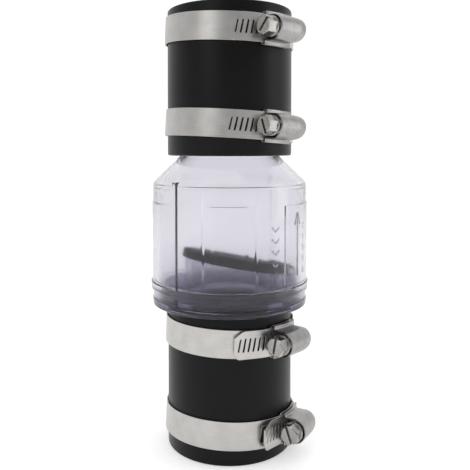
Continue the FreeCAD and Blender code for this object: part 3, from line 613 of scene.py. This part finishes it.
# ---------------------------------------------------------------- clamps
def clamp_place(clamp):
    """Frame of a clamp's hoop: x out to its screw, z its axis, -y the side of the head."""
    azimuth, lean_x, lean_y = CLAMPS[clamp][:3]
    turn = (Matrix.Rotation(math.radians(lean_x), 4, "X")
            @ Matrix.Rotation(math.radians(lean_y), 4, "Y")
            @ Matrix.Rotation(math.radians(azimuth - 90), 4, "Z"))
    screw_height = joints[clamp + "_screw_spin"]["pos_m"][2] * METRE
    return Matrix.Translation((0, 0, screw_height - (turn @ Vector((SCREW_AXIS, 0, 0))).z)) @ turn


def polar(radius, degrees):
    return Vector((radius * math.cos(math.radians(degrees)), radius * math.sin(math.radians(degrees)), 0))


def strip_path(tail_angle, straight):
    """Gives the inner point and outward normal of the strip at a length from its tip."""
    lap = math.radians(JOGGLE[0] + tail_angle) * TAIL_RADIUS
    joggle = math.radians(JOGGLE[1] - JOGGLE[0]) * TAIL_RADIUS
    start = math.degrees(math.asin((SADDLE_FRONT + 0.1) / BAND_RADIUS))
    hoop = math.radians(360 - start - JOGGLE[1]) * BAND_RADIUS

    def at(length):
        if length < straight:
            root = polar(TAIL_RADIUS, -tail_angle)
            return root + polar(straight - length, -tail_angle - 90), polar(1, -tail_angle)
        length -= straight
        if length < lap:
            angle = -tail_angle + math.degrees(length / TAIL_RADIUS)
            return polar(TAIL_RADIUS, angle), polar(1, angle)
        length -= lap
        if length < joggle:
            share = length / joggle
            ease = share * share * (3 - 2 * share)
            radius = TAIL_RADIUS + (BAND_RADIUS - TAIL_RADIUS) * ease
            angle = JOGGLE[0] + (JOGGLE[1] - JOGGLE[0]) * share
            return polar(radius, angle), polar(1, angle)
        angle = JOGGLE[1] + math.degrees((length - joggle) / BAND_RADIUS)
        return polar(BAND_RADIUS, angle), polar(1, angle)

    return at, straight + lap, straight + lap + joggle, straight + lap + joggle + hoop


def strip_edge(length, tip_corner):
    """Half width of the strip, less near its tip, where the corners are clipped."""
    return BAND_WIDTH / 2 - max(0.0, tip_corner - length)


def make_band(clamp):
    """Slotted steel strip: tail, joggle over the saddle, and the hoop."""
    _, _, _, tail_angle, straight, _ = CLAMPS[clamp]
    at, joggle_start, joggle_end, total = strip_path(tail_angle, straight)
    place = clamp_place(clamp)
    rows = (SLOT_LENGTH / 2 - SLOT_WIDTH / 2, SLOT_LENGTH / 2 + 0.45)
    points, faces, uvs, index = [], [], [], {}
    # painted shade: length of hoop under the tail that is painted dark
    shade_reach = math.radians(tail_angle) * BAND_RADIUS - SADDLE_FRONT + straight - SHADE_INSET
    shade_faces = set()

    def corner(length, across):
        edge = strip_edge(length, TAIL_CORNER)
        share = edge / (BAND_WIDTH / 2)
        lean = SLOT_SLANT * min(1.0, length / 2.0, max(0.0, (total - length) / 4.0))
        across = across * share
        along = length + lean * across
        key = (round(along, 4), round(across, 4))
        if key not in index:
            spot, normal = at(min(max(along, 0.0), total))
            index[key] = len(points)
            points.append((spot + Vector((0, 0, across)), normal))
            uvs.append((along / 100, across / 100))
        return index[key]

    def slotted_cell(start, middle, end):
        left, right = middle - SLOT_WIDTH / 2, middle + SLOT_WIDTH / 2
        row, top = rows
        faces.append((corner(start, -row), corner(left, -row), corner(left, row), corner(start, row)))
        faces.append((corner(right, -row), corner(end, -row), corner(end, row), corner(right, row)))
        for sign in (-1, 1):
            arc = [corner(middle - math.cos(math.radians(turn)) * SLOT_WIDTH / 2,
                          sign * (row + math.sin(math.radians(turn)) * SLOT_WIDTH / 2))
                   for turn in (0, 45, 90, 135, 180)]
            frame_points = [corner(start, sign * row), corner(start, sign * top),
                            corner(middle, sign * top), corner(end, sign * top),
                            corner(end, sign * row)]
            for step in range(4):
                faces.append((arc[step], arc[step + 1], frame_points[step + 1], frame_points[step]))
            edge = sign * BAND_WIDTH / 2
            for near, far in ((start, middle), (middle, end)):
                faces.append((corner(near, sign * top), corner(far, sign * top),
                              corner(far, edge), corner(near, edge)))

    def plain_cell(start, end):
        row, top = rows
        heights = (-BAND_WIDTH / 2, -top, -row, row, top, BAND_WIDTH / 2)
        for low, high in zip(heights, heights[1:]):
            # painted shade: the middle rows of the hoop under the tail take the dark steel
            if start > total - shade_reach and abs(low + high) < 2 * top:
                shade_faces.add(len(faces))
            faces.append((corner(start, low), corner(end, low), corner(end, high), corner(start, high)))

    length = 0.0
    for step in range(SLOTS_PER_BAND):
        middle = SLOT_MARGIN + step * SLOT_PITCH
        start, end = middle - SLOT_PITCH / 2, middle + SLOT_PITCH / 2
        if start > length + 1e-6:
            plain_cell(length, start)
        if start - 1.2 > joggle_end or end + 1.2 < joggle_start:
            slotted_cell(start, middle, end)
        else:
            plain_cell(start, middle)
            plain_cell(middle, end)
        length = end
    while length < total - 1e-6:
        end = min(total, length + 1.2)
        plain_cell(length, end)
        length = end
    vertices = [place @ spot for spot, _ in points]
    vertices += [place @ (spot + normal * BAND_THICKNESS) for spot, normal in points]
    count = len(points)
    sides = {}
    for face in faces:
        for near, far in zip(face, face[1:] + face[:1]):
            if (far, near) in sides:
                del sides[(far, near)]
            else:
                sides[(near, far)] = True
    solid = list(faces) + [tuple(count + point for point in reversed(face)) for face in faces]
    solid += [(near, far, count + far, count + near) for near, far in sides]
    # painted shade: the outer face of the hoop is painted near-black under the tail, so the tail's slots show dark
    outer_shade_faces = {len(faces) + face for face in shade_faces}
    tints = [int(face in outer_shade_faces) for face in range(len(solid))]
    piece = make_piece(clamp + "_band_strip", vertices, solid, [BAND_STEEL, BAND_PAINTED_SHADE], "casing",
                       (clamp + "_band",), uvs=uvs + uvs, tints=tints)
    soften(piece, 0.09)
    return piece


def soften(piece, width, angle=50.0, segments=2):
    """Rounds the piece's sharp edges a little, as tumbling does."""
    bevel = piece.modifiers.new("soft_edges", "BEVEL")
    bevel.width = width / METRE
    bevel.segments = segments
    bevel.limit_method = "ANGLE"
    bevel.angle_limit = math.radians(angle)
    bevel.harden_normals = False


def make_saddle(clamp):
    """Curved plate under the hood, with rounded corners."""
    place = clamp_place(clamp)
    columns, rows = 30, 8
    half_width = SADDLE_WIDTH / 2
    corner = 1.6
    points = []
    low, high = -SADDLE_FRONT, SADDLE_BACK
    for column in range(columns + 1):
        y = low + (high - low) * column / columns
        inset = max(0.0, corner - min(y - low, high - y))
        edge = half_width - corner + math.sqrt(max(0.0, corner ** 2 - inset ** 2))
        for row in range(rows + 1):
            z = edge * (2 * row / rows - 1)
            points.append((y, z))
    vertices = []
    for radius in (BAND_RADIUS + 0.02, BAND_RADIUS + BAND_THICKNESS - 0.02):
        for y, z in points:
            vertices.append(place @ Vector((math.sqrt(radius ** 2 - y ** 2), y, z)))
    across, count = rows + 1, len(points)
    faces = []
    for column in range(columns):
        for row in range(rows):
            first = column * across + row
            quad = (first, first + 1, first + across + 1, first + across)
            faces.append(quad)
            faces.append(tuple(count + point for point in reversed(quad)))
    rim = [column * across for column in range(columns + 1)]
    rim += [columns * across + row for row in range(1, rows + 1)]
    rim += [column * across + rows for column in range(columns - 1, -1, -1)]
    rim += [row for row in range(rows - 1, 0, -1)]
    for near, far in zip(rim, rim[1:] + rim[:1]):
        faces.append((near, far, count + far, count + near))
    piece = make_piece(clamp + "_saddle_plate", vertices, faces, [HOOD_STEEL], "casing",
                       (clamp + "_saddle",))
    soften(piece, 0.1)
    return piece


def hood_section(y, dome, lift, foot_edge):
    """Points of the hood's skin at one y: lower foot and leg, dome, upper leg and foot."""
    foot = math.sqrt(FOOT_RADIUS ** 2 - y ** 2)
    bend = 0.7

    def leg(side):
        reach = dome + side * lift
        flat = 0.7 * (foot_edge - reach - bend)
        points = [(foot, side * foot_edge), (foot, side * (foot_edge - flat))]
        for step in range(4):
            turn = math.radians(30 * step)
            points.append((foot + bend * (1 - math.cos(turn)),
                           side * (reach + bend * (1 - math.sin(turn)))))
        return points

    arch = []
    for step in range(25):
        turn = math.radians(-90 + 180 * step / 24)
        arch.append((SCREW_AXIS + dome * math.cos(turn), lift + dome * math.sin(turn)))
    return leg(-1) + arch + leg(1)[::-1]


def make_hood(clamp):
    """Pressed hood: rolled front bead, dome, feet that follow the saddle, tapered closed back."""
    place = clamp_place(clamp)
    rings = []
    plain_dome = DOME_RADIUS - 0.02
    front = -HOOD_FRONT
    for y, dome in ((front, DOME_RADIUS - 0.25), (front + 0.25, DOME_RADIUS),
                    (front + 0.8, DOME_RADIUS), (front + 1.15, plain_dome), (0.0, plain_dome)):
        rings.append((y, dome))
    taper_start, taper_end, small = 4.4, HOOD_BACK, 3.8
    steps = 12
    for step in range(steps + 1):
        turn = math.pi / 2 * step / steps
        y = taper_start + (taper_end - taper_start) * math.sin(turn)
        dome = small + (plain_dome - small) * math.cos(turn) ** 0.8
        rings.append((y, dome))
    sections = []
    for y, dome in rings:
        lift = TAPER_LIFT * max(0.0, plain_dome - dome) * (y > 0)
        sections.append(hood_section(y, dome, lift, SADDLE_WIDTH / 2))
    count = len(sections[0])
    vertices = [place @ Vector((x, y, z))
                for (y, _), section in zip(rings, sections) for x, z in section]
    faces = []
    for ring in range(len(rings) - 1):
        for step in range(count - 1):
            first = ring * count + step
            faces.append((first, first + 1, first + count + 1, first + count))
    piece = make_piece(clamp + "_hood", vertices, faces, [HOOD_STEEL], "casing",
                       (clamp + "_housing",), sharp=60.0)
    shell = piece.modifiers.new("wall", "SOLIDIFY")
    shell.thickness = HOOD_WALL / METRE
    shell.offset = -1.0
    shell.use_even_offset = True
    soften(piece, 0.12, 60.0)
    return piece


# ---------------------------------------------------------------- screws
PILOT_RADIUS = 2.2
CORE_RADIUS = 3.3
COLLAR_RADIUS = 4.7
HEX_FLATS = 7.94
COLLAR_BASE = HOOD_FRONT + 0.1
HEX_BASE = COLLAR_BASE + 1.2
HEAD_TOP = HEX_BASE + 4.7
WORM_TOP = HOOD_FRONT - 0.9
WORM_BACK = HOOD_BACK - 0.9
PILOT_END = HOOD_BACK + 0.3


def hex_radius(turn):
    return HEX_FLATS / 2 / math.cos((turn + math.pi / 6) % (math.pi / 3) - math.pi / 6)


def thread_radius(turn, height):
    """Worm radius: a trapezoid thread of 2.4 mm pitch that fades at both ends."""
    phase = ((height - turn / (2 * math.pi) * SLOT_PITCH) / SLOT_PITCH) % 1.0
    rise = max(0.0, min(1.0, (0.42 - abs(phase - 0.5)) / 0.26))
    fade = max(0.0, min(1.0, (WORM_TOP - 0.5 - height) / 0.8, (height + WORM_BACK - 0.9) / 1.2))
    return CORE_RADIUS + (WORM_RADIUS - CORE_RADIUS) * rise * fade


def screw_rings():
    """Rings of (height, radius as a function of the turn) from the pilot to the head's top."""
    def fixed(radius):
        return lambda turn: radius

    chamfer = 0.94 * HEX_FLATS / 2
    rings = [(-PILOT_END, fixed(0.01)), (-PILOT_END, fixed(PILOT_RADIUS - 0.3)),
             (-PILOT_END + 0.3, fixed(PILOT_RADIUS)), (-WORM_BACK, fixed(PILOT_RADIUS))]
    steps = 84
    for step in range(steps + 1):
        height = -WORM_BACK + (WORM_TOP + WORM_BACK) * step / steps
        rings.append((height, lambda turn, level=height: thread_radius(turn, level)))
    rings += [(WORM_TOP, fixed(3.2)), (COLLAR_BASE, fixed(3.2)),
              (COLLAR_BASE, fixed(COLLAR_RADIUS - 0.2)), (COLLAR_BASE + 0.2, fixed(COLLAR_RADIUS)),
              (HEX_BASE - 0.35, fixed(COLLAR_RADIUS)),
              (HEX_BASE - 0.08, fixed(COLLAR_RADIUS - 0.25)), (HEX_BASE, hex_radius)]
    return rings, chamfer


def make_screw(clamp):
    """Hex-head worm: pilot, thread, collar, chamfered head and driver slot."""
    screw_turn = CLAMPS[clamp][5]
    place = (clamp_place(clamp) @ Matrix.Translation((SCREW_AXIS, 0, 0))
             @ Matrix.Rotation(math.radians(90), 4, "X")
             @ Matrix.Rotation(math.radians(screw_turn), 4, "Z"))
    count = 72
    turns = [2 * math.pi * step / count for step in range(count)]
    rings, chamfer = screw_rings()
    drop = math.tan(math.radians(30))
    vertices = []
    for height, radius_at in rings:
        vertices += [Vector((radius_at(turn) * math.cos(turn), radius_at(turn) * math.sin(turn), height))
                     for turn in turns]
    total = len(rings)
    for share in (1.0, 0.5, 0.0):
        for turn in turns:
            radius = chamfer + (hex_radius(turn) - chamfer) * share
            height = HEAD_TOP - max(0.0, radius - chamfer) * drop
            vertices.append(Vector((radius * math.cos(turn), radius * math.sin(turn), height)))
    for share in (0.7, 0.35, 0.002):
        flat = chamfer * share
        vertices += [Vector((flat * math.cos(turn), flat * math.sin(turn), HEAD_TOP)) for turn in turns]
    total += 6
    faces = ring_faces(total, count, False)
    faces.append(tuple(reversed(range(count))))
    faces.append(tuple((total - 1) * count + step for step in range(count)))
    vertices = [place @ vertex for vertex in vertices]
    piece = make_piece(clamp + "_worm_screw", vertices, faces, [SCREW_STEEL], clamp + "_drive",
                       (clamp + "_screw",), sharp=24.0)
    cut_slot(piece, place)
    soften(piece, 0.09, 30.0)
    return piece


def cut_slot(piece, place):
    """Cuts the driver slot across the head."""
    width, depth = 1.2, 1.6
    corner, size = (-HEX_FLATS, -width / 2, HEAD_TOP - depth), (2 * HEX_FLATS, width, 2 * depth)
    points, sides = slab(corner, size, place, 0.05)
    mesh = bpy.data.meshes.new("slot_tool")
    mesh.from_pydata([Vector(point) / METRE for point in points], [], sides)
    tool = bpy.data.objects.new("slot_tool", mesh)
    bpy.context.scene.collection.objects.link(tool)
    cut = piece.modifiers.new("driver_slot", "BOOLEAN")
    cut.operation = "DIFFERENCE"
    cut.solver = "EXACT"
    cut.object = tool
    bpy.context.view_layer.update()
    graph = bpy.context.evaluated_depsgraph_get()
    finished = bpy.data.meshes.new_from_object(piece.evaluated_get(graph))
    piece.modifiers.remove(cut)
    piece.data = finished
    bpy.data.objects.remove(tool)
    finished.set_sharp_from_angle(angle=math.radians(24.0))


for clamp in CLAMPS:
    make_band(clamp)
    make_saddle(clamp)
    make_hood(clamp)
    make_screw(clamp)


# ---------------------------------------------------------------- carried-over CAD nodes
def dress_node(node, material):
    item = frame["nodes"][node]
    item.data.materials.clear()
    item.data.materials.append(material)


dress_node("flapper", FLAPPER_RUBBER)
dress_node("flapper_stiffener", PIN_STEEL)
dress_node("hinge_pin", PIN_STEEL)


# ---------------------------------------------------------------- stage, light and camera
def make_floor():
    """Pale sweep: a floor that curves up into a backdrop."""
    half, back, bend = 3.0, 2.2, 1.0
    outline = [(-4.0, 0.0), (back - bend, 0.0)]
    for step in range(1, 13):
        turn = math.pi / 2 * step / 12
        outline.append((back - bend + bend * math.sin(turn), bend - bend * math.cos(turn)))
    outline.append((back, 4.0))
    vertices = [(side, y, z) for y, z in outline for side in (-half, half)]
    faces = [(2 * step, 2 * step + 1, 2 * step + 3, 2 * step + 2) for step in range(len(outline) - 1)]
    mesh = bpy.data.meshes.new("floor")
    mesh.from_pydata(vertices, [], faces)
    mesh.shade_smooth()
    floor = bpy.data.objects.new("floor", mesh)
    bpy.context.scene.collection.objects.link(floor)
    material, tree, shader, node = new_material("floor")
    set_shader(shader, Roughness=0.8, Specular_IOR_Level=0.2, Emission_Color=(1.0, 1.0, 1.0, 1.0),
               Emission_Strength=0.42)
    tint = ramp(node, object_noise(node, 3.0), [(0.3, 0.86), (0.7, 0.9)])
    tree.links.new(tint, shader.inputs["Base Color"])
    mesh.materials.append(material)


def add_area(name, place, target, size, power, tone=(1.0, 1.0, 1.0)):
    data = bpy.data.lights.new(name, "AREA")
    data.shape = "RECTANGLE"
    data.size, data.size_y = size
    data.energy = power
    data.color = tone
    lamp = bpy.data.objects.new(name, data)
    lamp.location = place
    lamp.rotation_euler = (Vector(target) - Vector(place)).to_track_quat("-Z", "Y").to_euler()
    bpy.context.scene.collection.objects.link(lamp)


def make_light():
    """White world, brighter behind the valve, with a soft key from the left and a fill."""
    world = bpy.data.worlds.new("studio")
    world.use_nodes = True
    tree = world.node_tree
    direction = tree.nodes.new("ShaderNodeTexCoord")
    parts = tree.nodes.new("ShaderNodeSeparateXYZ")
    level = tree.nodes.new("ShaderNodeMapRange")
    for key, value in (("From Min", -1.0), ("From Max", 1.0), ("To Min", 0.4), ("To Max", 1.15)):
        level.inputs[key].default_value = value
    tree.links.new(direction.outputs["Generated"], parts.inputs["Vector"])
    tree.links.new(parts.outputs["Y"], level.inputs["Value"])
    background = tree.nodes["Background"]
    background.inputs["Color"].default_value = (1.0, 1.0, 1.0, 1.0)
    tree.links.new(level.outputs["Result"], background.inputs["Strength"])
    bpy.context.scene.world = world
    middle = (0.0, 0.0, 0.1)
    add_area("key", (-0.55, -0.75, 0.55), middle, (0.5, 0.7), 1.2)
    add_area("side", (0.75, -0.1, 0.35), middle, (0.3, 0.7), 0.8)
    add_area("top", (0.0, 0.1, 1.1), middle, (0.9, 0.9), 0.8)


def make_camera():
    data = bpy.data.cameras.new("camera")
    data.sensor_width = 36.0
    data.lens = 47.54
    data.shift_x = 0.0116
    data.shift_y = -0.1439
    camera = bpy.data.objects.new("camera", data)
    camera.location = (0.0, -0.3051, 0.1430)
    camera.rotation_euler = (math.radians(90.0 - 1.7), 0.0, 0.0)
    bpy.context.scene.collection.objects.link(camera)
    bpy.context.scene.camera = camera


make_floor()
make_light()
make_camera()
bpy.context.scene.view_settings.view_transform = "Standard"
